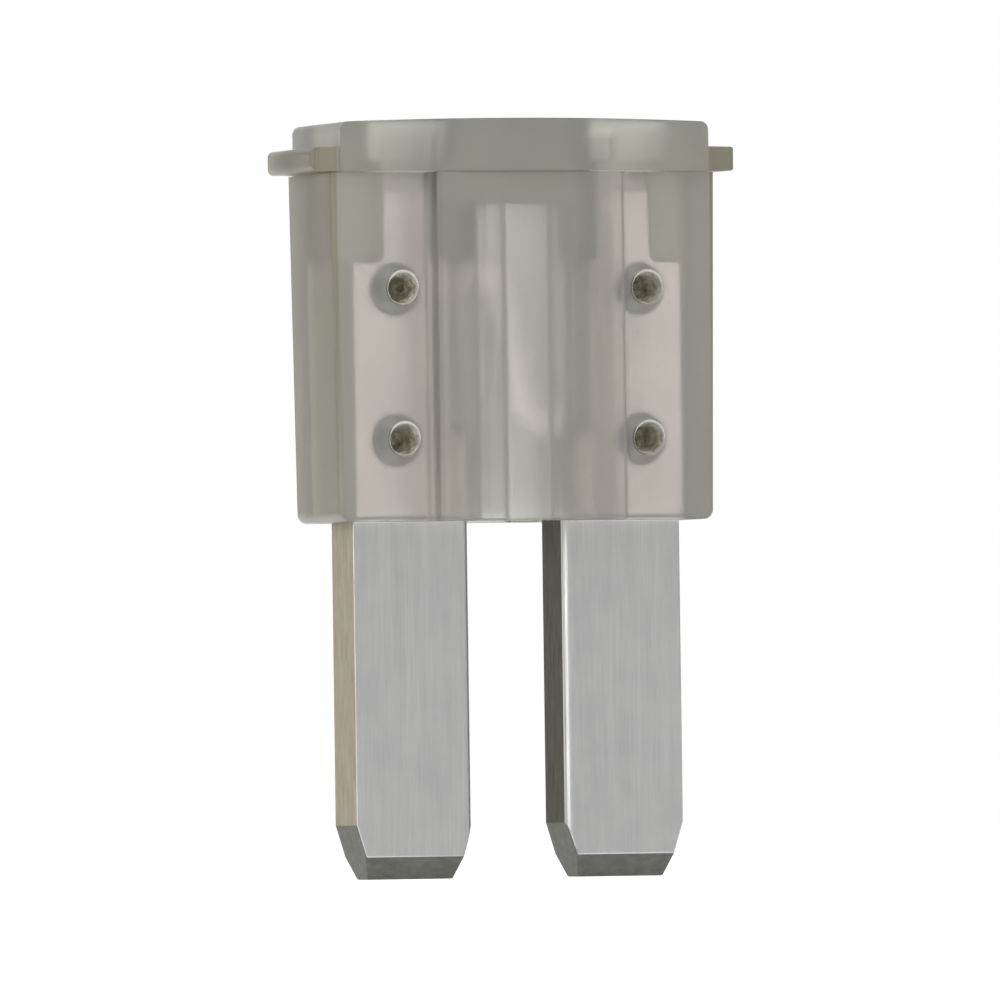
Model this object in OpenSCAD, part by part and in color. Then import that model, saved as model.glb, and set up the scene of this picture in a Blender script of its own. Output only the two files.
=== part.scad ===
// Two-blade automotive fuse of the micro size, in millimetres.
// One stamped element, both blades and the fusible link, sits in one moulded housing.
// X runs across the two blades, Y through the thickness with the front at -Y, and Z
// points up from the housing's underside, the plane in which the blades leave it.

/* [Blades] */
// Width of each blade
blade_w = 2.5; // [2.3:0.05:2.6]
// Thickness of the metal strip that the blades are stamped from
blade_t = 1.3; // [1.1:0.05:1.5]
// Distance between the centre lines of the two blades
blade_pitch = 4.52; // [4.4:0.02:4.8]
// Length of blade that stands out below the housing
blade_len = 7.2; // [6:0.1:9]
// Radius of the rolled front edge on the inner side of each blade
roll_r = 0.2; // [0.05:0.05:0.3]
// Height of the slanted corners at each blade's tip
tip_h = 1.1; // [0.6:0.1:1.6]
// Width that the slanted corners take off each side of the tip
tip_w = 0.34; // [0.1:0.02:0.6]
// Height of the bevel on the tip's front and back
bevel_h = 0.45; // [0.2:0.05:0.55]
// Depth that the bevel takes off the tip's front and back
bevel_t = 0.32; // [0.1:0.02:0.4]

/* [Element inside the housing] */
// Height of the blades' shoulders over the housing's underside
shoulder_z = 5.23; // [4.8:0.05:5.8]
// Width of the test tab that rises from each blade
tab_w = 1.2; // [1:0.05:1.5]
// Height of the test tab over the shoulders
tab_h = 1.62; // [1.2:0.05:2]
// Radius of the inside corners where a tab meets its shoulders
tab_root_r = 0.22; // [0.1:0.02:0.3]
// Height of the bevel round the top of a tab
tab_bevel_h = 0.2; // [0.1:0.02:0.3]
// Depth of the bevel round the top of a tab
tab_bevel_t = 0.14; // [0.05:0.01:0.25]
// Thickness of the metal where it is skived down for the link
skive_t = 0.5; // [0.3:0.05:0.8]
// Height at which the skived band starts over the underside
skive_z = 1.75; // [1.2:0.05:2.4]
// Width of each blade's inner margin that is skived, at the blade's own faces
skive_margin = 0.5; // [0.2:0.05:0.7]
// Width of the sloped side of the skived band
skive_slope = 0.3; // [0.1:0.05:0.4]
// Width of the fusible link
link_w = 0.6; // [0.4:0.05:0.7]
// Lean of the link's middle run, in degrees from upright
link_lean = 12; // [6:1:18]
// Radius of the inside of the link's two bends
link_bend_r = 0.12; // [0.05:0.01:0.2]

/* [Stakes] */
// Diameter of the holes in the blades that the housing is staked into
stake_hole_d = 1.02; // [0.9:0.02:1.1]
// Distance of the stake holes outward from a blade's centre line
stake_out = 0.36; // [0.3:0.02:0.5]
// Height of the lower stakes over the underside
stake_low_z = 1.64; // [1.3:0.02:2]
// Distance of the upper stakes below the shoulders
stake_drop = 0.55; // [0.51:0.01:0.9]
// Diameter of a stake's pressed dimple at its mouth
dimple_d = 0.64; // [0.52:0.02:0.7]
// Diameter of a stake's pressed dimple at its floor
dimple_floor_d = 0.48; // [0.3:0.02:0.5]
// Web of plastic left between the front and back dimples
dimple_web = 0.5; // [0.3:0.05:0.8]
// Bevel of a dimple's mouth
dimple_lip = 0.04; // [0.02:0.01:0.06]

/* [Housing] */
// Gap between the element and the pocket that it is pushed into
clearance = 0.03; // [0.02:0.01:0.06]
// Bevel round the mouth of each blade's slot, which leads the blade in
mouth_bevel = 0.12; // [0.05:0.01:0.2]
// Plastic wall in front of and behind the blades
face_wall = 0.67; // [0.5:0.02:0.8]
// Plastic wall outside each blade, at the underside
side_wall = 0.48; // [0.35:0.01:0.6]
// Draft that widens each side of the body from its underside to its top
draft_w = 0.1; // [0.04:0.01:0.2]
// Radius of the body's upright edges
body_edge_r = 0.14; // [0.05:0.01:0.25]
// Radius of the body's bottom corners
body_foot_r = 0.24; // [0.1:0.02:0.3]
// Width of the raised middle of the body
bulge_w = 4; // [3.8:0.05:4.1]
// Height of the raised middle over the body's face
bulge_rise = 0.43; // [0.35:0.01:0.6]
// Radius of the inside corner at the raised middle's root
bulge_root_r = 0.24; // [0.1:0.02:0.3]
// Radius of the raised middle's upright edges
bulge_edge_r = 0.1; // [0.04:0.01:0.13]

/* [Chamber round the link] */
// Wall in front of the chamber's deep middle groove
groove_wall = 0.35; // [0.25:0.05:0.5]
// Width of the deep middle groove
groove_w = 1; // [0.6:0.05:1.4]
// Wall in front of the rest of the chamber
chamber_wall = 0.72; // [0.6:0.02:0.9]
// Radius of the chamber's upright inner edges
chamber_edge_r = 0.12; // [0.05:0.01:0.15]
// Distance from the chamber's roof up to the cap's lower edge
chamber_roof = 0.65; // [0.4:0.05:0.9]

/* [Cap] */
// Height of the cap with the ears, over the body
cap_h = 1.08; // [0.9:0.02:1.15]
// Amount that the cap is narrower than the body's top, on each side
cap_inset = 0.17; // [0.05:0.01:0.3]
// Overhang of the cap over the body's faces, at its ends
cap_end_lip = 0.1; // [0.06:0.01:0.2]
// Overhang of the cap over the raised middle
cap_mid_lip = 0.12; // [0.06:0.01:0.2]
// Rise of the cap's slightly domed top
crown = 0.06; // [0.02:0.01:0.1]
// Radius of the cap's top corners
cap_corner_r = 0.18; // [0.08:0.01:0.25]
// Reach of each ear beyond the body
ear_reach = 0.43; // [0.2:0.01:0.6]
// Height of an ear
ear_h = 0.54; // [0.4:0.02:0.6]
// Height that an ear loses towards its tip, above and below
ear_taper = 0.03; // [0.01:0.01:0.06]
// Amount that an ear is thicker than the body, front and back
ear_lip = 0.03; // [0.01:0.01:0.05]
// Radius of the left ear's tip
ear_left_r = 0.17; // [0.05:0.01:0.18]
// Radius of the right ear's tip
ear_right_r = 0.08; // [0.05:0.01:0.18]
// Radius of the ears' upright edges
ear_edge_r = 0.14; // [0.05:0.01:0.2]

/* [Test openings] */
// Plastic between the top of a tab and the floor of its test opening
tab_cover = 0.43; // [0.2:0.01:0.6]
// Depth of the test openings in the cap's top
probe_depth = 0.82; // [0.6:0.02:1]
// Width of a test opening
probe_w = 1.8; // [1.5:0.05:2]
// Thickness of a test opening, front to back
probe_t = 1.8; // [1.5:0.05:2]
// Distance of a test opening's centre outward from a blade's centre line
probe_out = 0.04; // [-0.1:0.02:0.1]
// Radius of a test opening's corners
probe_corner_r = 0.2; // [0.05:0.05:0.4]

/* [Hidden] */
$fn = 64;
past = 1;
bend_steps = 8;
cap_steps = 18;

blade_x = blade_pitch / 2;
blade_in = blade_x - blade_w / 2;
blade_out = blade_x + blade_w / 2;
tab_top_z = shoulder_z + tab_h;
stake_x = blade_x + stake_out;
stake_high_z = shoulder_z - stake_drop;
stake_r = stake_hole_d / 2;

panel_t = blade_t + 2 * (clearance + face_wall);
body_bottom_w = 2 * (blade_out + clearance + side_wall);
body_top_w = body_bottom_w + 2 * draft_w;
bulge_t = panel_t + 2 * bulge_rise;
probe_floor_z = tab_top_z + tab_cover;
housing_h = probe_floor_z + probe_depth;
cap_z = housing_h - cap_h;
cap_w = body_top_w - 2 * cap_inset;
cap_end_t = panel_t + 2 * cap_end_lip;
cap_mid_t = bulge_t + 2 * cap_mid_lip;
draft_angle = atan(draft_w / cap_z);

function unit(v) = v / norm(v);

// Cuts a convex corner of an outline round: p is the corner, a and b its neighbours
module round_corner(a, p, b, r) {
    ua = unit(a - p);
    ub = unit(b - p);
    half = acos(ua * ub) / 2;
    reach = r / tan(half);
    inward = unit(ua + ub);
    difference() {
        polygon([p - inward * r, p + ua * reach, p + ub * reach]);
        translate(p + inward * (r / sin(half))) circle(r);
    }
}

// Outline through the points, with one corner radius for each point
module rounded_outline(points, radii) {
    n = len(points);
    difference() {
        polygon(points);
        for (i = [0:n - 1])
            if (radii[i] > 0)
                round_corner(points[(i + n - 1) % n], points[i], points[(i + 1) % n], radii[i]);
    }
}

// Rectangle centred on the origin with four round corners
module rounded_rect(w, h, r)
    rounded_outline([[-w, -h] / 2, [w, -h] / 2, [w, h] / 2, [-w, h] / 2], [r, r, r, r]);

// Turns an outline drawn in X and Z into a slab of thickness t about the XZ plane
module slab(t) rotate([90, 0, 0]) translate([0, 0, -t / 2]) linear_extrude(t) children();

module both_sides() {
    children();
    mirror([1, 0, 0]) children();
}

module front_and_back() {
    children();
    mirror([0, 1, 0]) children();
}

module at_stakes()
    both_sides()
        for (z = [stake_low_z, stake_high_z])
            translate([stake_x, 0, z]) children();

// Body of the housing: upright edges follow the draft, because each side is a
// round-edged prism that leans by the draft angle
module leaning_prism() {
    far = body_top_w;
    translate([body_bottom_w / 2, 0, 0])
        rotate([0, draft_angle, 0])
            translate([-far / 2, 0, -past])
                linear_extrude(cap_z + 2 * past)
                    rounded_rect(far, panel_t, body_edge_r);
}

module body() {
    foot = body_bottom_w / 2;
    top = body_top_w / 2;
    intersection() {
        leaning_prism();
        mirror([1, 0, 0]) leaning_prism();
        slab(panel_t + past)
            rounded_outline([[-foot, 0], [foot, 0], [top, cap_z], [-top, cap_z]],
                            [body_foot_r, body_foot_r, 0, 0]);
    }
}

// Raised middle with its inside corner faired into the body's faces
module bulge() {
    linear_extrude(cap_z) {
        rounded_rect(bulge_w, bulge_t, bulge_edge_r);
        both_sides() front_and_back()
            translate([bulge_w / 2, panel_t / 2])
                difference() {
                    translate([-bulge_root_r, -bulge_root_r]) square(2 * bulge_root_r);
                    translate([bulge_root_r, bulge_root_r]) circle(bulge_root_r);
                }
    }
}

// Points of a shallow arc over a span along X, which rises by rise at its middle
function arc_points(span, rise, steps) =
    let (r = (pow(span / 2, 2) + pow(rise, 2)) / (2 * rise))
    [for (i = [0:steps]) let (x = span * (i / steps - 0.5)) [x, sqrt(r * r - x * x) - r + rise]];

// Cap: curved front and back in plan, and a slightly domed top
module cap() {
    side = cap_w / 2;
    bow = arc_points(cap_w, (cap_mid_t - cap_end_t) / 2, cap_steps);
    dome = arc_points(cap_w, crown, cap_steps);
    last = cap_steps;
    intersection() {
        translate([0, 0, cap_z])
            linear_extrude(2 * cap_h)
                polygon(concat([for (p = bow) [p[0], p[1] + cap_end_t / 2]],
                               [for (p = bow) [-p[0], -p[1] - cap_end_t / 2]]));
        slab(cap_mid_t + past)
            rounded_outline(concat([[side, cap_z - past], [side, housing_h - crown]],
                                   [for (i = [last - 1:-1:1]) dome[i] + [0, housing_h - crown]],
                                   [[-side, housing_h - crown], [-side, cap_z - past]]),
                            concat([0, cap_corner_r], [for (i = [1:last - 1]) 0],
                                   [cap_corner_r, 0]));
    }
}

module ear(tip_r) {
    root = cap_w / 2 - past;
    tip = body_top_w / 2 + ear_reach;
    intersection() {
        slab(panel_t + 2 * ear_lip)
            rounded_outline([[root, cap_z], [tip, cap_z + ear_taper],
                             [tip, cap_z + ear_h - ear_taper], [root, cap_z + ear_h]],
                            [0, tip_r, tip_r, 0]);
        translate([0, 0, cap_z - past])
            linear_extrude(cap_h + 2 * past)
                rounded_rect(2 * tip, panel_t + 2 * ear_lip, ear_edge_r);
    }
}

// Flare where a tab meets its shoulders, with gap for the pocket to clear it
module tab_root(gap) {
    half = tab_w / 2 + tab_root_r;
    difference() {
        translate([blade_x - half, shoulder_z - tab_root_r]) square([2 * half, 2 * tab_root_r]);
        for (side = [-1, 1])
            translate([blade_x + side * half, shoulder_z + tab_root_r]) circle(tab_root_r - gap);
    }
}

// Bevelled mouth of the right blade's slot, which widens down to and past the underside
module slot_mouth() {
    grow = mouth_bevel + past;
    inner = blade_in - clearance;
    outer = blade_out + clearance;
    half_t = blade_t / 2 + clearance;
    intersection() {
        slab(blade_t + 2 * grow)
            polygon([[inner, mouth_bevel], [outer, mouth_bevel], [outer + grow, -past],
                     [inner, -past]]);
        rotate([90, 0, 90])
            linear_extrude(outer + grow)
                polygon([[-half_t, mouth_bevel], [half_t, mouth_bevel],
                         [half_t + grow, -past], [-half_t - grow, -past]]);
    }
}

// Space for the element: a slot for each blade and tab, and the chamber between them
module pocket() {
    both_sides() {
        slot_mouth();
        slab(blade_t + 2 * clearance) tab_root(clearance);
        translate([blade_in - clearance, -blade_t / 2 - clearance, -past])
            cube([blade_w + 2 * clearance, blade_t + 2 * clearance,
                  shoulder_z + clearance + past]);
        translate([blade_x - tab_w / 2 - clearance, -blade_t / 2 - clearance, 0])
            cube([tab_w + 2 * clearance, blade_t + 2 * clearance, probe_floor_z + past / 2]);
    }
    translate([0, 0, -past])
        linear_extrude(cap_z - chamber_roof + past) {
            rounded_rect(2 * blade_in, bulge_t - 2 * chamber_wall, chamber_edge_r);
            rounded_rect(groove_w, bulge_t - 2 * groove_wall, chamber_edge_r);
        }
}

module probe_openings()
    both_sides()
        translate([blade_x + probe_out, 0, probe_floor_z])
            linear_extrude(probe_depth + past)
                rounded_rect(probe_w, probe_t, probe_corner_r);

// One dimple, pressed in along +Y from the body's front face
module dimple() {
    depth = (panel_t - dimple_web) / 2;
    translate([0, -panel_t / 2, 0])
        rotate([-90, 0, 0])
            rotate_extrude()
                polygon([[0, -dimple_lip], [dimple_d / 2 + 2 * dimple_lip, -dimple_lip],
                         [dimple_d / 2, dimple_lip],
                         [dimple_floor_d / 2, depth - dimple_lip],
                         [dimple_floor_d / 2 - dimple_lip, depth], [0, depth]]);
}

module housing() color([0.62, 0.62, 0.59, 0.75])
    difference() {
        union() {
            difference() {
                union() {
                    body();
                    bulge();
                    cap();
                    ear(ear_right_r);
                    mirror([1, 0, 0]) ear(ear_left_r);
                }
                pocket();
                probe_openings();
            }
            at_stakes()
                rotate([90, 0, 0])
                    cylinder(r = stake_r - clearance, h = blade_t + face_wall, center = true);
        }
        at_stakes() front_and_back() dimple();
    }

// Front outline of one blade with its tip, shoulders and test tab, for the right side
module blade_outline() {
    tab_l = blade_x - tab_w / 2;
    tab_r = blade_x + tab_w / 2;
    polygon([[blade_in + tip_w, -blade_len], [blade_out - tip_w, -blade_len],
             [blade_out, tip_h - blade_len], [blade_out, shoulder_z],
             [blade_in, shoulder_z], [blade_in, tip_h - blade_len]]);
    tab_root(0);
    rounded_outline([[tab_l, shoulder_z - tab_h], [tab_r, shoulder_z - tab_h],
                     [tab_r, tab_top_z], [tab_l, tab_top_z]],
                    [0, 0, tab_bevel_t, tab_bevel_t]);
}

// Side profile of a blade in Y and Z, bevelled at the tip and at the top of the tab
module blade_profile() {
    half = blade_t / 2;
    polygon([[bevel_t - half, -blade_len], [half - bevel_t, -blade_len],
             [half, bevel_h - blade_len], [half, tab_top_z - tab_bevel_h],
             [half - tab_bevel_t, tab_top_z], [tab_bevel_t - half, tab_top_z],
             [-half, tab_top_z - tab_bevel_h], [-half, bevel_h - blade_len]]);
}

module blade()
    intersection() {
        slab(blade_t + past) blade_outline();
        rotate([90, 0, 90]) linear_extrude(blade_out + past) blade_profile();
        translate([0, 0, -blade_len - past])
            linear_extrude(blade_len + tab_top_z + 2 * past)
                rounded_outline([[blade_in, -blade_t / 2], [blade_out, -blade_t / 2],
                                 [blade_out, blade_t / 2], [blade_in, blade_t / 2]],
                                [roll_r, 0, 0, 0]);
    }

// Skived band: the metal taken off the front from the band's lower edge upwards
module skive_cut() {
    floor_w = 2 * (blade_in + skive_margin - skive_slope);
    face_w = 2 * (blade_in + skive_margin);
    depth = (blade_t - skive_t) / 2;
    over = past * skive_slope / depth;
    translate([0, 0, skive_z])
        linear_extrude(shoulder_z + tab_h)
            polygon([[-floor_w / 2, -skive_t / 2], [floor_w / 2, -skive_t / 2],
                     [face_w / 2 + over, -blade_t / 2 - past],
                     [-face_w / 2 - over, -blade_t / 2 - past]]);
}

// Centre line of the link: arm, bend, leaning run, bend, arm
function bend_points(centre, r, from, to) =
    [for (i = [0:bend_steps]) let (a = from + (to - from) * i / bend_steps)
        centre + r * [cos(a), sin(a)]];

function link_path(high, low, r) =
    let (turn = 90 - link_lean,
         mid = (high + low) / 2,
         corner = (high - mid) * tan(link_lean),
         setback = r * tan(turn / 2),
         upper = [-corner - setback, high - r],
         lower = [corner + setback, low + r])
    concat(bend_points(upper, r, 90, 90 - turn), bend_points(lower, r, 270 - turn, 270));

module link() {
    r = link_bend_r + link_w / 2;
    high = shoulder_z - link_w / 2;
    low = skive_z + link_w / 2;
    reach = blade_in + skive_margin / 2;
    path = concat([[-reach, high]], link_path(high, low, r), [[reach, low]]);
    n = len(path);
    normals = [for (i = [0:n - 1])
        let (d = unit(path[min(i + 1, n - 1)] - path[max(i - 1, 0)])) [-d[1], d[0]]];
    slab(skive_t)
        polygon(concat([for (i = [0:n - 1]) path[i] + normals[i] * link_w / 2],
                       [for (i = [n - 1:-1:0]) path[i] - normals[i] * link_w / 2]));
}

module fuse_element() color([0.72, 0.71, 0.68]) {
    difference() {
        both_sides() blade();
        front_and_back() skive_cut();
        at_stakes()
            rotate([90, 0, 0]) cylinder(r = stake_r, h = blade_t + past, center = true);
    }
    link();
}

housing();
fuse_element();
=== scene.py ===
# %% [markdown]
# # A two-blade automotive fuse
#
# The real fuse is two pieces: a metal element, stamped from one strip, and a
# translucent moulded housing that is pushed over it and staked into it. This script
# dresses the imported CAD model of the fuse, and it works in metres in the same frame:
# X runs across the two blades, Y from the front to the back, and Z points up from the
# housing's underside.

# %% Load the fixed frame
import math

import bmesh
import bpy
import numpy as np
from mathutils import Matrix, Vector


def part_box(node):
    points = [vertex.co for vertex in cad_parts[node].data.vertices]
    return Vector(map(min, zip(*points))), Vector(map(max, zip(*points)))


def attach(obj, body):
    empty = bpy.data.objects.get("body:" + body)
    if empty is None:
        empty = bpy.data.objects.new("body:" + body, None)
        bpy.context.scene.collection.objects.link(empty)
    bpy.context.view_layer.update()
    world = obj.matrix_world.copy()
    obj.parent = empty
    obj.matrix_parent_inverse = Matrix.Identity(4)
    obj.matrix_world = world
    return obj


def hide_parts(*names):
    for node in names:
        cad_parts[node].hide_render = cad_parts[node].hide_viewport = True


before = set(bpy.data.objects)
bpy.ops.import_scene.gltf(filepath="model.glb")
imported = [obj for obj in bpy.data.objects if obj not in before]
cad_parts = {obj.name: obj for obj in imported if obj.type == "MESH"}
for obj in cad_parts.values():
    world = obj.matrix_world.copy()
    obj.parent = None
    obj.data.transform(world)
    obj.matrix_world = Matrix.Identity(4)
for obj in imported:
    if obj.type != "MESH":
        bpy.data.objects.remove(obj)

MM = 0.001
scene = bpy.context.scene
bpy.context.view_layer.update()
tips_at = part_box("fuse_element")[0].z

# %% [markdown]
# ## The camera
#
# A small product is photographed with a long lens from far away, so its upright edges
# stay parallel. This camera stands 20 degrees to the left of the front, a little lower
# than the middle of the fuse, and rolls by less than a degree. The lens is given as a
# focal length in pixels of the square picture, which is the easiest form to work with:
# a thing of size s at distance d covers s / d * focal pixels.

# %% Directions of the camera
PICTURE_PX = 1000
FOCAL_PX = 18213
SENSOR_MM = 36
YAW = math.radians(20)
RISE = math.radians(0.505)
ROLL = math.radians(0.78)
DISTANCE = 368.3 * MM
AIM_POINT = Vector((0, 0, -2.17)) * MM
AIM_PX = (506.97, 628.87)

forward = Vector((math.sin(YAW) * math.cos(RISE),
                  math.cos(YAW) * math.cos(RISE),
                  math.sin(RISE)))
level = Vector((math.cos(YAW), -math.sin(YAW), 0))
upright = level.cross(forward)
right = level * math.cos(ROLL) - upright * math.sin(ROLL)
up = level * math.sin(ROLL) + upright * math.cos(ROLL)
place = AIM_POINT - forward * DISTANCE
print("camera stands at", [round(v / MM, 1) for v in place], "mm")

# %% [markdown]
# The camera was fitted with AIM_POINT at the pixel AIM_PX, which isn't the picture's
# middle. A lens shift would allow for that, but other views keep the shift too. So the
# camera turns a little instead, until its axis runs through the picture's middle.

# %% The camera itself
half = PICTURE_PX / 2
sideways = right * ((half - AIM_PX[0]) / FOCAL_PX)
upwards = up * ((AIM_PX[1] - half) / FOCAL_PX)
back = -(forward + sideways + upwards).normalized()
side = up.cross(back).normalized()
turn = Matrix((side, back.cross(side), back)).transposed().to_4x4()

lens = bpy.data.cameras.new("camera")
lens.sensor_width = SENSOR_MM
lens.lens = SENSOR_MM * FOCAL_PX / PICTURE_PX
lens.clip_start = DISTANCE / 10
lens.clip_end = DISTANCE * 100
camera = bpy.data.objects.new("camera", lens)
camera.matrix_world = Matrix.Translation(place) @ turn
scene.collection.objects.link(camera)
scene.camera = camera
print("focal length of the lens:", round(lens.lens, 1), "mm")

# %% [markdown]
# ## Light and background
#
# The photograph is lit like most small products: one large softbox on the left, weaker
# ones above and in front, and white all round. Enough light would turn any paper white,
# but it would bleach the fuse too. So a white background is made of two things here.
# What the camera sees, also through the plastic, is plain white, and what lights the
# fuse is a separate, weaker level. The Light Path node tells the two apart.


# %% Small helpers for node trees
def add_node(tree, kind, values=None, **settings):
    """Adds one node, sets its properties and then the values of its unlinked inputs."""
    made = tree.nodes.new(kind)
    for key, value in settings.items():
        setattr(made, key, value)
    for key, value in (values or {}).items():
        made.inputs[key].default_value = value
    return made


def join(tree, source, target):
    """Links an output to an input."""
    tree.links.new(source, target)


def seen_directly(tree):
    """Mask = the largest of three values that are 0 or 1: whether the ray comes from the
    camera, off a glossy surface, or through the plastic."""
    path = add_node(tree, "ShaderNodeLightPath")
    first = add_node(tree, "ShaderNodeMath", operation="MAXIMUM")
    second = add_node(tree, "ShaderNodeMath", operation="MAXIMUM")
    join(tree, path.outputs["Is Camera Ray"], first.inputs[0])
    join(tree, path.outputs["Is Glossy Ray"], first.inputs[1])
    join(tree, first.outputs[0], second.inputs[0])
    join(tree, path.outputs["Is Transmission Ray"], second.inputs[1])
    return second.outputs[0]


# %% [markdown]
# Bare metal shows little but what it mirrors. Behind the fuse that is white paper, and
# everywhere else it is a dimmer room, which gives the blades their mid grey. The next
# mask picks the room. A ray that has passed rough plastic counts as mirrored and as
# transmitted at once, so one less the other leaves the pure reflections.

# %% A mask for what bare metal mirrors
ROOM_BEGINS = 1.0
ROOM_IS_FULL = 0.4


def mirrors_the_room(tree):
    """Mask = (glossy - transmitted) * a ramp on the Y of the ray's direction. The ramp is
    0 at ROOM_BEGINS, straight to the back, and 1 from ROOM_IS_FULL on to the front."""
    where = add_node(tree, "ShaderNodeTexCoord")
    parts = add_node(tree, "ShaderNodeSeparateXYZ")
    ramp = add_node(tree, "ShaderNodeMapRange",
                    {"From Min": ROOM_BEGINS, "From Max": ROOM_IS_FULL, "To Min": 0, "To Max": 1})
    path = add_node(tree, "ShaderNodeLightPath")
    mirrored = add_node(tree, "ShaderNodeMath", operation="SUBTRACT", use_clamp=True)
    mask = add_node(tree, "ShaderNodeMath", operation="MULTIPLY")
    join(tree, where.outputs["Generated"], parts.inputs[0])
    join(tree, parts.outputs["Y"], ramp.inputs["Value"])
    join(tree, path.outputs["Is Glossy Ray"], mirrored.inputs[0])
    join(tree, path.outputs["Is Transmission Ray"], mirrored.inputs[1])
    join(tree, ramp.outputs["Result"], mask.inputs[0])
    join(tree, mirrored.outputs[0], mask.inputs[1])
    return mask.outputs[0]


# %% White surroundings
WHITE = (1, 1, 1, 1)
AMBIENT_LEVEL = 0.4
ROOM_LEVEL = 0.32

world = bpy.data.worlds.new("surroundings")
world.use_nodes = True
scene.world = world
tree = world.node_tree
tree.nodes.clear()
ambient = add_node(tree, "ShaderNodeBackground", {"Color": WHITE, "Strength": AMBIENT_LEVEL})
backdrop = add_node(tree, "ShaderNodeBackground", {"Color": WHITE, "Strength": 1})
room = add_node(tree, "ShaderNodeBackground", {"Color": WHITE, "Strength": ROOM_LEVEL})
surroundings = add_node(tree, "ShaderNodeMixShader")
choice = add_node(tree, "ShaderNodeMixShader")
output = add_node(tree, "ShaderNodeOutputWorld")
join(tree, mirrors_the_room(tree), surroundings.inputs["Fac"])
join(tree, backdrop.outputs[0], surroundings.inputs[1])
join(tree, room.outputs[0], surroundings.inputs[2])
join(tree, seen_directly(tree), choice.inputs["Fac"])
join(tree, ambient.outputs[0], choice.inputs[1])
join(tree, surroundings.outputs[0], choice.inputs[2])
join(tree, choice.outputs[0], output.inputs["Surface"])
print("levels: background 1, ambient", AMBIENT_LEVEL, "and mirrored room", ROOM_LEVEL)

# %% [markdown]
# The floor is a wide disc at the blades' tips. A square would do as well, but a disc has
# no corner that could come into view. Seen directly, its paper glows a little and is lit
# too, so it comes out white and still shows the fuse's shadow at the tips. For all other
# rays it is plain matt paper, which adds no light of its own.

# %% Pale floor under the blades
FLOOR_RADIUS = 900 * MM
FLOOR_SIDES = 96

angles = np.linspace(0, 2 * np.pi, FLOOR_SIDES, endpoint=False)
rim = np.stack([np.cos(angles) * FLOOR_RADIUS, np.sin(angles) * FLOOR_RADIUS,
                np.full(FLOOR_SIDES, tips_at)], axis=1)
floor_mesh = bpy.data.meshes.new("floor")
floor_mesh.from_pydata(rim.tolist(), [], [list(range(FLOOR_SIDES))])
floor = bpy.data.objects.new("floor", floor_mesh)
scene.collection.objects.link(floor)
print("floor at", round(tips_at / MM, 2), "mm")

# %% Paper of the floor
PAPER_GLOW = 0.8
PAPER_SEEN = (0.5, 0.5, 0.5, 1)
PAPER_PLAIN = (0.9, 0.9, 0.9, 1)

paper = bpy.data.materials.new("pale_paper")
paper.use_nodes = True
tree = paper.node_tree
tree.nodes.clear()
matt = add_node(tree, "ShaderNodeBsdfDiffuse", {"Color": PAPER_SEEN})
glow = add_node(tree, "ShaderNodeEmission", {"Color": WHITE, "Strength": PAPER_GLOW})
lit = add_node(tree, "ShaderNodeAddShader")
plain = add_node(tree, "ShaderNodeBsdfDiffuse", {"Color": PAPER_PLAIN})
mixed = add_node(tree, "ShaderNodeMixShader")
output = add_node(tree, "ShaderNodeOutputMaterial")
join(tree, matt.outputs[0], lit.inputs[0])
join(tree, glow.outputs[0], lit.inputs[1])
join(tree, seen_directly(tree), mixed.inputs["Fac"])
join(tree, plain.outputs[0], mixed.inputs[1])
join(tree, lit.outputs[0], mixed.inputs[2])
join(tree, mixed.outputs[0], output.inputs["Surface"])
floor_mesh.materials.append(paper)
print("paper glows at", PAPER_GLOW)

# %% [markdown]
# A softbox is an area lamp. Blender asks for its power, which grows with the lamp's size,
# so each one is given by how bright its face is. That way its size can be changed and
# only the shadows get softer or harder. The front one fills the shadows and leaves no
# mirror image on the metal.

# %% Softboxes
LAMP_DISTANCE = 300 * MM


def softbox(name, azimuth, elevation, width, height, radiance):
    """A rectangular lamp that faces the fuse. Power = radiance * pi * width * height."""
    turn_to, lift = math.radians(azimuth), math.radians(elevation)
    towards = Vector((math.sin(turn_to) * math.cos(lift), -math.cos(turn_to) * math.cos(lift),
                      math.sin(lift)))
    lamp = bpy.data.lights.new(name, "AREA")
    lamp.shape = "RECTANGLE"
    lamp.size = width
    lamp.size_y = height
    lamp.energy = radiance * math.pi * width * height
    holder = bpy.data.objects.new(name, lamp)
    holder.location = towards * LAMP_DISTANCE
    holder.rotation_mode = "QUATERNION"
    holder.rotation_quaternion = towards.to_track_quat("Z", "Y")
    holder.visible_camera = False
    scene.collection.objects.link(holder)
    return holder


key = softbox("key_softbox", -78, 12, 260 * MM, 300 * MM, 2.6)
top = softbox("top_softbox", 0, 65, 240 * MM, 240 * MM, 1.2)
front = softbox("front_softbox", 22, 8, 260 * MM, 260 * MM, 2.0)
front.visible_glossy = False
print("watts:", [round(lamp.data.energy, 2) for lamp in (key, top, front)])

# %% [markdown]
# ## From CAD faces to finished edges
#
# A CAD model has knife-sharp edges and its mesh is loose triangles. Real moulded and
# stamped edges are a little round, and that thin round catches the light. A Bevel needs
# edges that two faces share, which loose triangles don't have. So each piece is a copy
# of its CAD mesh that is merged into one skin, has its flat faces made whole, and gets a
# narrow Bevel on the edges that show. The Bevel modifier follows a weight that is stored
# on each edge, which keeps it away from the fine steps inside the pocket.

# %% A merged copy of a CAD node
MERGE_GAP = 0.0002 * MM
FLAT_ANGLE = math.radians(0.4)
SHARP_ANGLE = math.radians(32)


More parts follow.
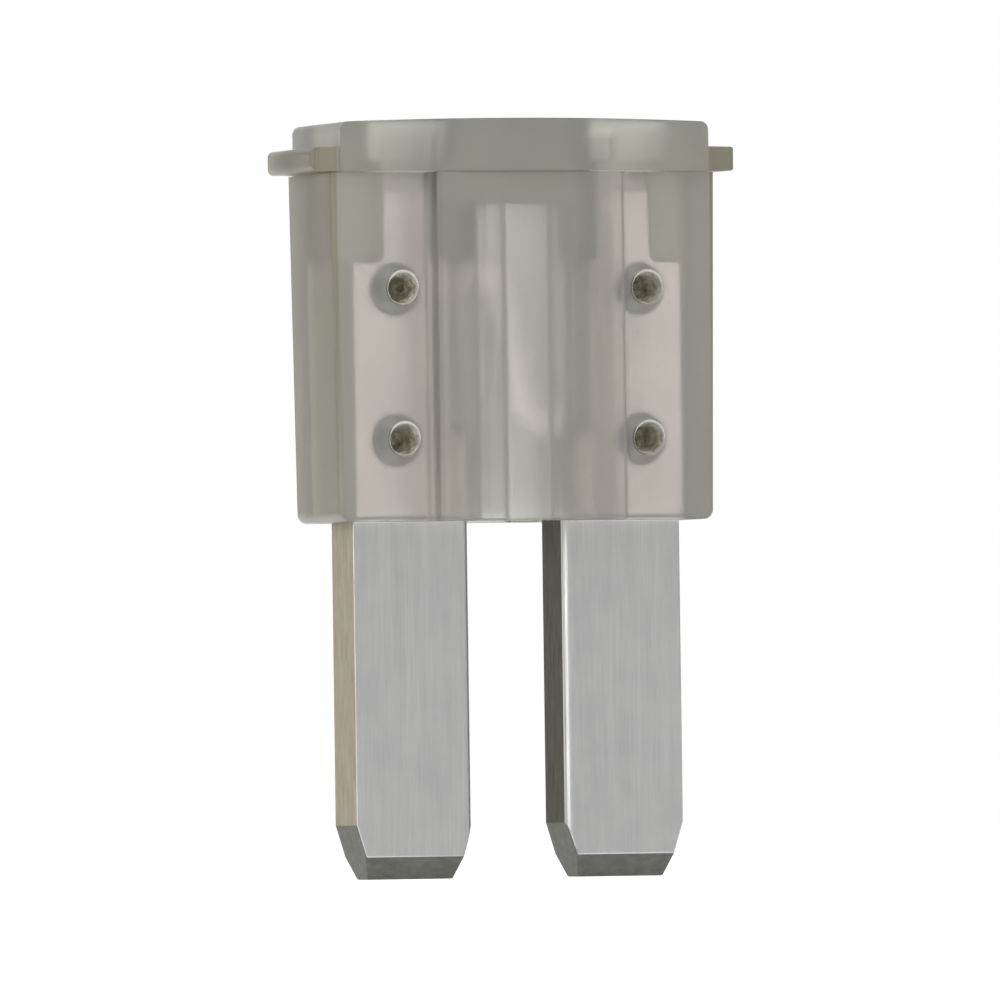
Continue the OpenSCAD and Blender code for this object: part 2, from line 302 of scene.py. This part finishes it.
def skin_of(node, name):
    """Copies a CAD node into a new object, merges its doubles and makes flat faces whole.
    An edge is sharp when its two faces bend by more than SHARP_ANGLE. It is an outer
    corner too when they bend outwards."""
    mesh = bpy.data.meshes.new(name)
    skin = bmesh.new()
    skin.from_mesh(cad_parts[node].data)
    bmesh.ops.remove_doubles(skin, verts=skin.verts, dist=MERGE_GAP)
    bmesh.ops.dissolve_limit(skin, angle_limit=FLAT_ANGLE, verts=skin.verts, edges=skin.edges)
    corner = skin.edges.layers.bool.new("outer_corner")
    for edge in skin.edges:
        bend = edge.calc_face_angle_signed(0)
        edge.smooth = abs(bend) < SHARP_ANGLE
        edge[corner] = bend > SHARP_ANGLE
    for face in skin.faces:
        face.smooth = True
    skin.to_mesh(mesh)
    skin.free()
    if mesh.attributes.get("custom_normal"):
        mesh.attributes.remove(mesh.attributes["custom_normal"])
    piece = bpy.data.objects.new(name, mesh)
    scene.collection.objects.link(piece)
    return piece


# %% Facts on a mesh's edges as arrays
def positions(mesh):
    """Every vertex's place as an array of n rows, in millimetres."""
    flat = np.empty(len(mesh.vertices) * 3, np.float32)
    mesh.vertices.foreach_get("co", flat)
    return flat.reshape(-1, 3).astype(float) / MM


def edge_facts(mesh):
    """The middle of each edge, in millimetres, and whether it is a sharp outer corner."""
    pairs = np.empty(len(mesh.edges) * 2, np.int32)
    mesh.edges.foreach_get("vertices", pairs)
    middles = positions(mesh)[pairs.reshape(-1, 2)].mean(axis=1)
    corners = np.zeros(len(mesh.edges), bool)
    mesh.attributes["outer_corner"].data.foreach_get("value", corners)
    return middles, corners


# %% A Bevel that follows weights
ROUND_SEGMENTS = 2
LARGE_FACES_LEAD = 100


def round_edges(piece, weights, width):
    """Stores one weight for each edge. The Bevel rounds each edge by width * weight."""
    weight_layer = piece.data.attributes.new("bevel_weight_edge", "FLOAT", "EDGE")
    weight_layer.data.foreach_set("value", weights.astype(np.float32))
    bevel = piece.modifiers.new("rounded_edges", "BEVEL")
    bevel.limit_method = "WEIGHT"
    bevel.width = width
    bevel.segments = ROUND_SEGMENTS
    bevel.use_clamp_overlap = False
    normals = piece.modifiers.new("even_normals", "WEIGHTED_NORMAL")
    normals.keep_sharp = True
    normals.weight = LARGE_FACES_LEAD


# %% [markdown]
# The housing's Bevel leaves some places alone. The pocket fits closely round the
# element. The dimples get a skin of their own further down. At the ears and at the cap's
# ends the edges lie close together, so there they are rounded less or not at all. Places
# on the housing are given in millimetres.

# %% The housing's skin and its edges
EDGE_ROUND = 0.04 * MM
EAR_EDGE_SHARE = 0.2
POCKET_HALF_Y = 1.2
POCKET_HALF_X = 3.9
POCKET_TOP = 7.9
STAKE_X = 2.62
STAKE_HEIGHTS = (1.64, 4.68)
STAKE_CLEAR = 0.45
EAR_ZONE = (6.9, 7.8)
EAR_START = 3.9
CAP_END = (3.75, 7.8)

housing = skin_of("housing", "moulded_housing")
middles, corners = edge_facts(housing.data)
across, deep, high_up = np.abs(middles[:, 0]), np.abs(middles[:, 1]), middles[:, 2]
outside = (deep > POCKET_HALF_Y) | (across > POCKET_HALF_X) | (high_up > POCKET_TOP)
in_dimple = np.zeros(len(middles), bool)
for stake_z in STAKE_HEIGHTS:
    in_dimple |= np.hypot(across - STAKE_X, high_up - stake_z) < STAKE_CLEAR
at_ear = (across > EAR_START) & (high_up > EAR_ZONE[0]) & (high_up < EAR_ZONE[1])
weights = np.where(corners & outside & ~in_dimple, 1.0, 0.0)
weights[at_ear] *= EAR_EDGE_SHARE
weights[(across > CAP_END[0]) & (high_up > CAP_END[1])] = 0.0
round_edges(housing, weights, EDGE_ROUND)
print("housing edges rounded:", int(np.count_nonzero(weights)), "of", len(weights))

# %% [markdown]
# A punch leaves the same small round on every outer corner of the stamped element, so
# here all of them get the full weight.

# %% The element's skin and its edges
PUNCH_ROUND = 0.03 * MM

element = skin_of("fuse_element", "stamped_element")
middles, corners = edge_facts(element.data)
round_edges(element, np.where(corners, 1.0, 0.0), PUNCH_ROUND)
print("element edges rounded:", int(corners.sum()), "of", len(corners))

# %% [markdown]
# ## Dimples of the stakes
#
# The housing holds the element by four stakes: hot punches pressed plastic into the
# blades' holes and left a torn, rough dimple with a raised burr at its mouth. Bump alone
# can't show this, because the dimple is deep and the camera looks into it. So each
# dimple's skin is a profile turned round an axis. The profile starts on the axis behind
# the floor and comes up just inside the moulding. It then runs over the burr, down the
# wall and over the floor, and ends on the axis again, so the skin is closed. Waves with
# set phases push the wall and the floor in and out, which makes them look torn. The
# sizes are in millimetres.

# %% The profile of one dimple
PANEL_HALF_T = 1.35
MOUTH_R = 0.315
FLOOR_R = 0.225
BURR_R = 0.036
BURR_LEAN = math.radians(75)
BURR_LEAST = 0.1
SKIN_DEPTH = 0.8
BACK_START = 0.045
BACK_DEPTH = 1.02
BACK_GAP = 0.008
ROUND_STEPS = 72
BURR_STEPS = 9
WALL_STEPS = 22
FLOOR_STEPS = 10


def dimple_profile():
    """Radius and depth along the four stretches of the profile, in millimetres: two lines
    behind the floor and the wall, a half circle over the burr from its outer foot to its
    inner one, a line down the wall, and a line over the floor to the axis."""
    behind = np.array([[0, FLOOR_R + BACK_GAP, MOUTH_R + BACK_GAP],
                       [BACK_DEPTH, BACK_DEPTH, BACK_START]])
    swing = np.linspace(0, np.pi, BURR_STEPS)
    burr = np.stack([MOUTH_R + BURR_R + BURR_R * np.cos(swing), -BURR_R * np.sin(swing)])
    down = np.linspace(0, 1, WALL_STEPS)[1:]
    wall = np.stack([MOUTH_R + (FLOOR_R - MOUTH_R) * down, SKIN_DEPTH * down])
    inward = np.linspace(1, 0, FLOOR_STEPS)[1:]
    floor_line = np.stack([FLOOR_R * inward, np.full(FLOOR_STEPS - 1, SKIN_DEPTH)])
    return behind, burr, wall, floor_line


# %% Torn waves
WAVES_ROUND = (1, 7)
TILTS = (4, 16)


def torn_waves(turn, along, seed, waves):
    """Height = the mean of |sin(n t + (k s + p) / 2)| over a few waves, where t is the angle
    round the dimple and s the way along it. Each wave draws its own n, k and p. A whole
    number n makes it meet itself after a full turn."""
    draws = np.random.default_rng(seed)
    total = np.zeros(np.broadcast(turn, along).shape)
    for around in draws.integers(*WAVES_ROUND, waves):
        tilt = draws.uniform(*TILTS)
        shift = draws.uniform(0, 2 * np.pi)
        total += np.abs(np.sin(0.5 * (2 * around * turn + tilt * along + shift)))
    return total / waves


# %% One dimple's skin as a grid
WALL_TEAR = 0.07
WALL_WAVES = 5
FLOOR_TEAR = 0.3
FLOOR_WAVES = 4
FLOOR_WAVE_SHARE = 0.3
FLOOR_SEED_STEP = 9


def dimple_grid(centre, side, seed):
    """Place = centre + (r cos t, side * (half thickness - depth), r sin t). The waves grow
    down the wall and fade at both ends of the floor. The burr's size follows the cosine of
    the angle from its highest place."""
    behind, burr, wall, floor_line = (part[:, :, None] for part in dimple_profile())
    turn = np.linspace(0, 2 * np.pi, ROUND_STEPS, endpoint=False)[None, :]
    even = np.ones_like(turn)
    lean_to = np.pi - BURR_LEAN if side > 0 else BURR_LEAN
    lean = BURR_LEAST + (1 - BURR_LEAST) * np.clip(np.cos(turn - lean_to), 0, 1)
    along = np.linspace(0, 1, WALL_STEPS - 1)[:, None]
    wall_r = wall[0] - WALL_TEAR * torn_waves(turn, along, seed, WALL_WAVES) * np.sqrt(along)
    inner = np.linspace(0, 1, FLOOR_STEPS - 1)[:, None]
    lumps = torn_waves(turn, inner * FLOOR_WAVE_SHARE, seed + FLOOR_SEED_STEP, FLOOR_WAVES)
    floor_d = floor_line[1] - FLOOR_TEAR * lumps * np.sqrt(1 - inner) * inner
    radius = np.concatenate([behind[0] * even, MOUTH_R + (burr[0] - MOUTH_R) * lean,
                             wall_r, floor_line[0] * wall_r[-1] / FLOOR_R])
    depth = np.concatenate([behind[1] * even, burr[1] * lean, wall[1] * even, floor_d])
    x = centre[0] + radius * np.cos(turn)
    z = centre[1] + radius * np.sin(turn)
    y = side * (PANEL_HALF_T - depth)
    return np.stack([x, y, z], axis=2).reshape(-1, 3) * MM, len(radius)


# %% Faces between the rings of a grid
def ring_quads(rows, columns, offset):
    """Quads between neighbouring rows of a grid whose last column meets its first. A
    point's number is its row * columns + its column + offset."""
    row, column = np.meshgrid(np.arange(rows - 1), np.arange(columns), indexing="ij")
    after = (column + 1) % columns
    corners = (row * columns + column, row * columns + after,
               (row + 1) * columns + after, (row + 1) * columns + column)
    quads = np.stack(corners, axis=2).reshape(-1, 4) + offset
    return quads.tolist()


# %% All eight dimples in one mesh
FIRST_SEED = 20

places, faces = [], []
for number, (x, z, side) in enumerate(
        (x, z, side) for x in (-STAKE_X, STAKE_X) for z in STAKE_HEIGHTS for side in (-1, 1)):
    grid, rows = dimple_grid((x, z), side, FIRST_SEED + number)
    faces += ring_quads(rows, ROUND_STEPS, number * len(grid))
    places.append(grid)
dimple_mesh = bpy.data.meshes.new("torn_dimples")
dimple_mesh.from_pydata(np.concatenate(places).tolist(), [], faces)

# %% [markdown]
# Both ends of a profile lie on its axis, where a whole ring of points falls together. A
# pole like that is closed once its doubles are merged. After that all normals can be
# turned outwards, which needs a closed skin.

# %% Close the poles
closing = bmesh.new()
closing.from_mesh(dimple_mesh)
bmesh.ops.remove_doubles(closing, verts=closing.verts, dist=MERGE_GAP)
bmesh.ops.recalc_face_normals(closing, faces=closing.faces)
open_edges = sum(not edge.is_manifold for edge in closing.edges)
volume = closing.calc_volume(signed=True) / MM ** 3
closing.to_mesh(dimple_mesh)
closing.free()
dimple_mesh.shade_smooth()
dimples = bpy.data.objects.new("torn_dimples", dimple_mesh)
scene.collection.objects.link(dimples)
print("dimple faces:", len(dimple_mesh.polygons), "open edges:", open_edges)
print("volume in mm3, above 0 when the faces point outwards:", round(volume, 3))

# %% [markdown]
# ## Surface effects as node groups
#
# Three effects turn up on more than one material: a fine grain, streaks that run one
# way, and broad patches where handling has dulled the surface. They could be painted,
# but a pattern worked out from the place on the object has no seam and needs no picture.
# Each is a node group that is built once. A group takes the size of its cells in metres,
# so a stretched cell gives streaks, and it puts out a mask between 0 and 1 that the
# materials mix with.


# %% A group for noise with cells of a chosen size
def noise_group(name, detail, roughness):
    """Mask = (noise of p / cell - low) / (high - low), held between 0 and 1, where p is the
    place on the object."""
    group = bpy.data.node_groups.new(name, "ShaderNodeTree")
    group.interface.new_socket("Cell", in_out="INPUT", socket_type="NodeSocketVector")
    group.interface.new_socket("Low", in_out="INPUT", socket_type="NodeSocketFloat")
    group.interface.new_socket("High", in_out="INPUT", socket_type="NodeSocketFloat")
    group.interface.new_socket("Mask", in_out="OUTPUT", socket_type="NodeSocketFloat")
    inlet = group.nodes.new("NodeGroupInput")
    outlet = group.nodes.new("NodeGroupOutput")
    place = add_node(group, "ShaderNodeTexCoord")
    scaled = add_node(group, "ShaderNodeVectorMath", operation="DIVIDE")
    noise = add_node(group, "ShaderNodeTexNoise",
                     {"Scale": 1.0, "Detail": detail, "Roughness": roughness})
    stretch = add_node(group, "ShaderNodeMapRange")
    join(group, place.outputs["Object"], scaled.inputs[0])
    join(group, inlet.outputs["Cell"], scaled.inputs[1])
    join(group, scaled.outputs[0], noise.inputs["Vector"])
    join(group, noise.outputs["Fac"], stretch.inputs["Value"])
    join(group, inlet.outputs["Low"], stretch.inputs["From Min"])
    join(group, inlet.outputs["High"], stretch.inputs["From Max"])
    join(group, stretch.outputs["Result"], outlet.inputs["Mask"])
    return group


fine_grain = noise_group("fine_grain", 2, 0.5)
upright_streaks = noise_group("upright_streaks", 4, 0.6)
handling_marks = noise_group("handling_marks", 3, 0.55)
print("node groups:", [group.name for group in bpy.data.node_groups])


# %% Placing a group and mixing colours with its mask
def place_group(tree, group, cell, low=0.3, high=0.7):
    """Puts a group in a material, with its cell in millimetres, and returns its mask."""
    made = add_node(tree, "ShaderNodeGroup", node_tree=group)
    made.inputs["Cell"].default_value = [v * MM for v in cell]
    made.inputs["Low"].default_value = low
    made.inputs["High"].default_value = high
    return made.outputs["Mask"]


def blend_colours(tree, mask, first, second):
    """Colour = first where the mask is 0 and second where it is 1."""
    mix = add_node(tree, "ShaderNodeMix", data_type="RGBA")
    for slot, colour in ((6, first), (7, second)):
        if isinstance(colour, bpy.types.NodeSocket):
            join(tree, colour, mix.inputs[slot])
        else:
            mix.inputs[slot].default_value = (*colour, 1)
    join(tree, mask, mix.inputs[0])
    return mix.outputs[2]


# %% Arithmetic on values and masks
def map_value(tree, value, low, high, from_low=0.0, from_high=1.0):
    """Maps a value from one range to another, and holds it inside the second."""
    span = add_node(tree, "ShaderNodeMapRange",
                    {"From Min": from_low, "From Max": from_high, "To Min": low, "To Max": high})
    join(tree, value, span.inputs["Value"])
    return span.outputs["Result"]


def add_up(tree, first, second, share):
    """Sum = first + share * second."""
    total = add_node(tree, "ShaderNodeMath", {1: share}, operation="MULTIPLY_ADD")
    join(tree, second, total.inputs[0])
    join(tree, first, total.inputs[2])
    return total.outputs[0]


def both(tree, first, second):
    """Product = first * second, which for two masks is where both hold."""
    product = add_node(tree, "ShaderNodeMath", operation="MULTIPLY")
    join(tree, first, product.inputs[0])
    join(tree, second, product.inputs[1])
    return product.outputs[0]


# %% Places on the object
def coordinate(tree, axis):
    """One coordinate, in metres, of a place on the object."""
    place = add_node(tree, "ShaderNodeTexCoord")
    parts = add_node(tree, "ShaderNodeSeparateXYZ")
    join(tree, place.outputs["Object"], parts.inputs[0])
    return parts.outputs[axis]


def distance_from_middle(tree, axis):
    """Distance = |coordinate|, in metres, from the middle plane of one axis."""
    size = add_node(tree, "ShaderNodeMath", operation="ABSOLUTE")
    join(tree, coordinate(tree, axis), size.inputs[0])
    return size.outputs[0]


# %% Starting and finishing a material
def new_material(name, values):
    """A material with a Principled shader, whose even values sit on its own sockets."""
    made = bpy.data.materials.new(name)
    made.use_nodes = True
    shader = made.node_tree.nodes["Principled BSDF"]
    for key, value in values.items():
        shader.inputs[key].default_value = value
    return made, made.node_tree, shader


def finish_material(tree, shader, tone, roughness, height, depth):
    """Feeds tone and roughness into the shader, and a relief of height * depth in metres."""
    bump = add_node(tree, "ShaderNodeBump", {"Strength": 1.0, "Distance": depth})
    join(tree, tone, shader.inputs["Base Color"])
    join(tree, roughness, shader.inputs["Roughness"])
    join(tree, height, bump.inputs["Height"])
    join(tree, bump.outputs["Normal"], shader.inputs["Normal"])


# %% [markdown]
# ## Milky grey plastic
#
# The housing is moulded in an unfilled plastic that is grey and cloudy in the mass, with
# a satin skin. Scattering inside a volume would be the direct way, but it is slow and
# noisy. So it is made as glass with a rough surface, which blurs what lies deeper more
# than what lies close behind the wall, and with an absorbing volume, so thick parts are
# darker than thin ones. A seventh of the surface stays diffuse for the milky look. The
# two narrow end faces are painted browner, as painted shade for the dimmer light there.

# %% Plastic of the housing: colour and depth
PLASTIC_CLEAR = (0.93, 0.93, 0.9)
PLASTIC_CLOUDY = (0.86, 0.865, 0.84)
# The browner tone of the two end faces is painted shade.
PLASTIC_ENDS_PAINTED_SHADE = (0.66, 0.63, 0.5)
END_FACES = (3.98 * MM, 4.02 * MM)
LETS_THROUGH = (0.2, 0.17, 0.0, 1)
ABSORB_DENSITY = 610.0

plastic, tree, shader = new_material("milky_grey_plastic", {
    "IOR": 1.5, "Transmission Weight": 0.86})
clouds = place_group(tree, handling_marks, (1.3, 1.3, 2.2))
painted_shade_at_ends = map_value(tree, distance_from_middle(tree, "X"), 0, 1, *END_FACES)
tone = blend_colours(tree, clouds, PLASTIC_CLEAR, PLASTIC_CLOUDY)
tone = blend_colours(tree, painted_shade_at_ends, tone, PLASTIC_ENDS_PAINTED_SHADE)
absorb = add_node(tree, "ShaderNodeVolumeAbsorption",
                  {"Color": LETS_THROUGH, "Density": ABSORB_DENSITY})
join(tree, absorb.outputs[0], tree.nodes["Material Output"].inputs["Volume"])
left = [round(math.exp((part - 1) * ABSORB_DENSITY * MM), 2) for part in LETS_THROUGH[:3]]
print("red, green and blue left after 1 mm of plastic:", left)

# %% [markdown]
# The mould leaves marks of its own: a faint ripple, a grain, and fine upright marks
# where the moulding was drawn out. The core that shaped the chamber behind the raised
# middle had deeper lines, and they show through the wall. Four ramps keep them inside
# the chamber, and off the cap's top and the underside.

# %% Plastic of the housing: relief
PLASTIC_ROUGH = (0.32, 0.46)
GRAIN_SHARE = 0.04
DRAW_SHARE = 0.12
CORE_SHARE = 8.0
SKIN_RELIEF = 0.006 * MM
CHAMBER_HALF_X = (1.9 * MM, 1.98 * MM)
CHAMBER_HALF_Y = (1.2 * MM, 1.26 * MM)
CHAMBER_TOP = (7.75 * MM, 7.9 * MM)
CHAMBER_FOOT = (0.05 * MM, 0.15 * MM)

grain = place_group(tree, fine_grain, (0.05, 0.05, 0.05))
ripple = place_group(tree, fine_grain, (0.5, 0.5, 0.9))
draw_marks = place_group(tree, upright_streaks, (0.045, 0.045, 2.5), 0.35, 0.65)
core_lines = place_group(tree, upright_streaks, (0.2, 0.3, 30.0), 0.38, 0.62)
near_core = map_value(tree, distance_from_middle(tree, "Y"), 1, 0, *CHAMBER_HALF_Y)
inside_bulge = map_value(tree, distance_from_middle(tree, "X"), 1, 0, *CHAMBER_HALF_X)
under_cap = map_value(tree, coordinate(tree, "Z"), 1, 0, *CHAMBER_TOP)
above_rim = map_value(tree, coordinate(tree, "Z"), 0, 1, *CHAMBER_FOOT)
in_chamber = both(tree, both(tree, near_core, inside_bulge), both(tree, under_cap, above_rim))
relief = add_up(tree, add_up(tree, ripple, grain, GRAIN_SHARE), draw_marks, DRAW_SHARE)
relief = add_up(tree, relief, both(tree, in_chamber, core_lines), CORE_SHARE)
roughness = map_value(tree, add_up(tree, clouds, grain, 0.5), *PLASTIC_ROUGH, 0, 1.5)
finish_material(tree, shader, tone, roughness, relief, SKIN_RELIEF)
print("plastic nodes:", len(tree.nodes))

# %% [markdown]
# Where the punch tore the plastic, it is matt, brownish and no longer clear. The burr
# was smeared smooth, so it is greyer, more even and glossier. One material makes both,
# because a ramp on the distance from the middle plane tells the burr from the hole.

# %% Torn plastic of the dimples
TORN_DARK = (0.28, 0.26, 0.18)
TORN_PALE = (0.8, 0.77, 0.66)
BURR_TONE = (0.6, 0.6, 0.57)
BURR_BEGINS = (1.27 * MM, 1.33 * MM)
BURR_SMOOTH = 0.8
TORN_ROUGH = (0.15, 0.6)
TORN_RELIEF = 0.03 * MM

torn, tree, shader = new_material("torn_plastic", {"IOR": 1.5})
lumps = place_group(tree, handling_marks, (0.16, 0.16, 0.16))
grain = place_group(tree, fine_grain, (0.03, 0.03, 0.03))
at_burr = map_value(tree, distance_from_middle(tree, "Y"), 0, 1, *BURR_BEGINS)
tone = blend_colours(tree, lumps, TORN_DARK, TORN_PALE)
tone = blend_colours(tree, at_burr, tone, BURR_TONE)
roughness = add_up(tree, grain, at_burr, -BURR_SMOOTH)
roughness = map_value(tree, roughness, *TORN_ROUGH, -BURR_SMOOTH, 1)
finish_material(tree, shader, tone, roughness, add_up(tree, lumps, grain, 0.2), TORN_RELIEF)
print("torn plastic nodes:", len(tree.nodes))

# %% [markdown]
# ## Plated metal
#
# The element is zinc alloy with a thin plating. Its broad faces carry fine upright lines
# from the rolling mill. The Anisotropic value would stretch the highlights in the same
# way, but the lines themselves would be missing, so they are made as streaks in colour,
# roughness and relief. Below the housing the faces carry handling marks. Inside it, the
# metal is painted a brighter, even tone: painted light that makes up for the light lost
# in the plastic.

# %% Rolled faces
LINE_TONES = ((0.61, 0.61, 0.605), (0.53, 0.53, 0.53))
BAND_TONE = (0.48, 0.475, 0.485)
MARK_TONE = (0.6, 0.6, 0.57)
# Painted light: inside the housing the metal is painted brighter, for light the plastic holds
# back.
PAINTED_LIGHT_IN_HOUSING_TONE = (1.0, 0.92, 0.99)
UNDERSIDE = (-0.02 * MM, 0.05 * MM)
ROLLED_ROUGH = (0.32, 0.46)
LINE_RELIEF = 0.0012 * MM

rolled_metal, tree, shader = new_material("rolled_plated_metal", {"Metallic": 1.0})
lines = place_group(tree, upright_streaks, (0.03, 0.03, 1.4), 0.32, 0.68)
bands = place_group(tree, upright_streaks, (0.35, 0.35, 4.0), 0.35, 0.65)
marks = place_group(tree, handling_marks, (0.4, 0.4, 0.6), 0.35, 0.75)
grain = place_group(tree, fine_grain, (0.012, 0.012, 0.03))
painted_light_in_housing = map_value(tree, coordinate(tree, "Z"), 0, 1, *UNDERSIDE)
tone = blend_colours(tree, lines, *LINE_TONES)
tone = blend_colours(tree, map_value(tree, bands, 0, 0.6), tone, BAND_TONE)
tone = blend_colours(tree, map_value(tree, marks, 0, 0.5), tone, MARK_TONE)
tone = blend_colours(tree, painted_light_in_housing, tone, PAINTED_LIGHT_IN_HOUSING_TONE)
roughness = map_value(tree, add_up(tree, marks, lines, 0.6), *ROLLED_ROUGH, 0, 1.6)
finish_material(tree, shader, tone, roughness, add_up(tree, lines, grain, 0.3), LINE_RELIEF)
print("rolled metal nodes:", len(tree.nodes))

# %% [markdown]
# The narrow side faces were cut by a punch. They are rougher than the rolled faces, have
# short upright tears and show the browner alloy. The two sides that face each other are
# painted much darker, as painted shade between the blades. Which side a face is on
# follows from its distance from the middle.

# %% Sheared sides
OUTER_TONES = ((0.4, 0.36, 0.27), (0.34, 0.3, 0.22))
# The inner tones are painted shade, standing for the shade between the two blades.
INNER_PAINTED_SHADE_TONES = ((0.075, 0.068, 0.045), (0.03, 0.028, 0.02))
TEAR_TONE = (0.2, 0.17, 0.12)
INNER_TO_OUTER = (1.5 * MM, 2.0 * MM)
SHEARED_ROUGH = (0.5, 0.7)
TEAR_RELIEF = 0.004 * MM

sheared_metal, tree, shader = new_material("sheared_metal", {"Metallic": 0.35})
tears = place_group(tree, upright_streaks, (0.06, 0.1, 0.5), 0.3, 0.7)
patches = place_group(tree, handling_marks, (0.2, 0.14, 0.8), 0.35, 0.7)
grain = place_group(tree, fine_grain, (0.02, 0.02, 0.02))
clear_of_painted_shade = map_value(tree, distance_from_middle(tree, "X"), 0, 1, *INNER_TO_OUTER)
inner_painted_shade_tone = blend_colours(tree, patches, *INNER_PAINTED_SHADE_TONES)
outer_tone = blend_colours(tree, patches, *OUTER_TONES)
tone = blend_colours(tree, clear_of_painted_shade, inner_painted_shade_tone, outer_tone)
tone = blend_colours(tree, map_value(tree, tears, 0, 0.25), tone, TEAR_TONE)
roughness = map_value(tree, tears, *SHEARED_ROUGH)
finish_material(tree, shader, tone, roughness, add_up(tree, tears, grain, 0.3), TEAR_RELIEF)
print("sheared metal nodes:", len(tree.nodes))

# %% [markdown]
# The bevels at the tips were pressed last, between hard dies. That left them smoother
# than the sheared sides. Their even dark grey is painted shade, standing for the dark
# that they mirror below the tips.

# %% Pressed bevels at the tips
# The dark grey of the tip bevels is painted shade: a painted dark reflection.
TIP_PAINTED_SHADE_TONES = ((0.15, 0.15, 0.135), (0.11, 0.11, 0.1))
PRESSED_ROUGH = (0.4, 0.55)
PRESSED_RELIEF = 0.001 * MM

tip_metal_painted_shade, tree, shader = new_material("tip_bevels_painted_shade", {"Metallic": 0.8})
marks = place_group(tree, handling_marks, (0.25, 0.2, 0.15), 0.35, 0.7)
grain = place_group(tree, fine_grain, (0.02, 0.02, 0.02))
tone = blend_colours(tree, marks, *TIP_PAINTED_SHADE_TONES)
roughness = map_value(tree, grain, *PRESSED_ROUGH)
finish_material(tree, shader, tone, roughness, grain, PRESSED_RELIEF)
print("pressed metal nodes:", len(tree.nodes))

# %% [markdown]
# ## Which face gets which finish
#
# The element is one stamping, so its finishes are told apart by how each face was made.
# A face that turns even a little to the front or the back is rolled strip, and so are
# the rolled-over edges. A face that looks straight sideways, up or down was sheared. A
# face at the tip that looks downwards was pressed.


# %% Facts on a mesh's faces as arrays
def face_facts(mesh):
    """Centres in millimetres and normals of all faces, as two arrays of n rows."""
    centres = np.empty(len(mesh.polygons) * 3, np.float32)
    normals = np.empty(len(mesh.polygons) * 3, np.float32)
    mesh.polygons.foreach_get("center", centres)
    mesh.polygons.foreach_get("normal", normals)
    return centres.reshape(-1, 3) / MM, normals.reshape(-1, 3)


# %% Give each face its material
ROLLED, SHEARED, PRESSED = 0, 1, 2
TIP_TOP = -6.2
SIDE_TILT = 0.12
DOWN_TILT = -0.1

centres, normals = face_facts(element.data)
index = np.where(np.abs(normals[:, 1]) > SIDE_TILT, ROLLED, SHEARED)
index[(centres[:, 2] < TIP_TOP) & (normals[:, 2] < DOWN_TILT)] = PRESSED
element.data.materials.clear()
for material in (rolled_metal, sheared_metal, tip_metal_painted_shade):
    element.data.materials.append(material)
element.data.polygons.foreach_set("material_index", index.astype(np.int32))
housing.data.materials.clear()
housing.data.materials.append(plastic)
dimple_mesh.materials.append(torn)
print("faces rolled, sheared, pressed:", np.bincount(index))

# %% [markdown]
# ## Hand the pieces over
#
# Nothing on a fuse moves, so all pieces ride on its one body. The two skins stand for
# their CAD nodes. The dimples are part of the moulding and ride on the same body.

# %% Put the pieces on the frame
for piece, node, slot in ((housing, "housing", "housing"), (element, "fuse_element", "element")):
    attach(piece, "root")
    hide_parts(node)
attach(dimples, "root")

# %% [markdown]
# The dressed fuse has to fill the same box as the CAD model, because its size is a
# standard one.

# %% Finish with the view transform
scene.view_settings.view_transform = "Standard"
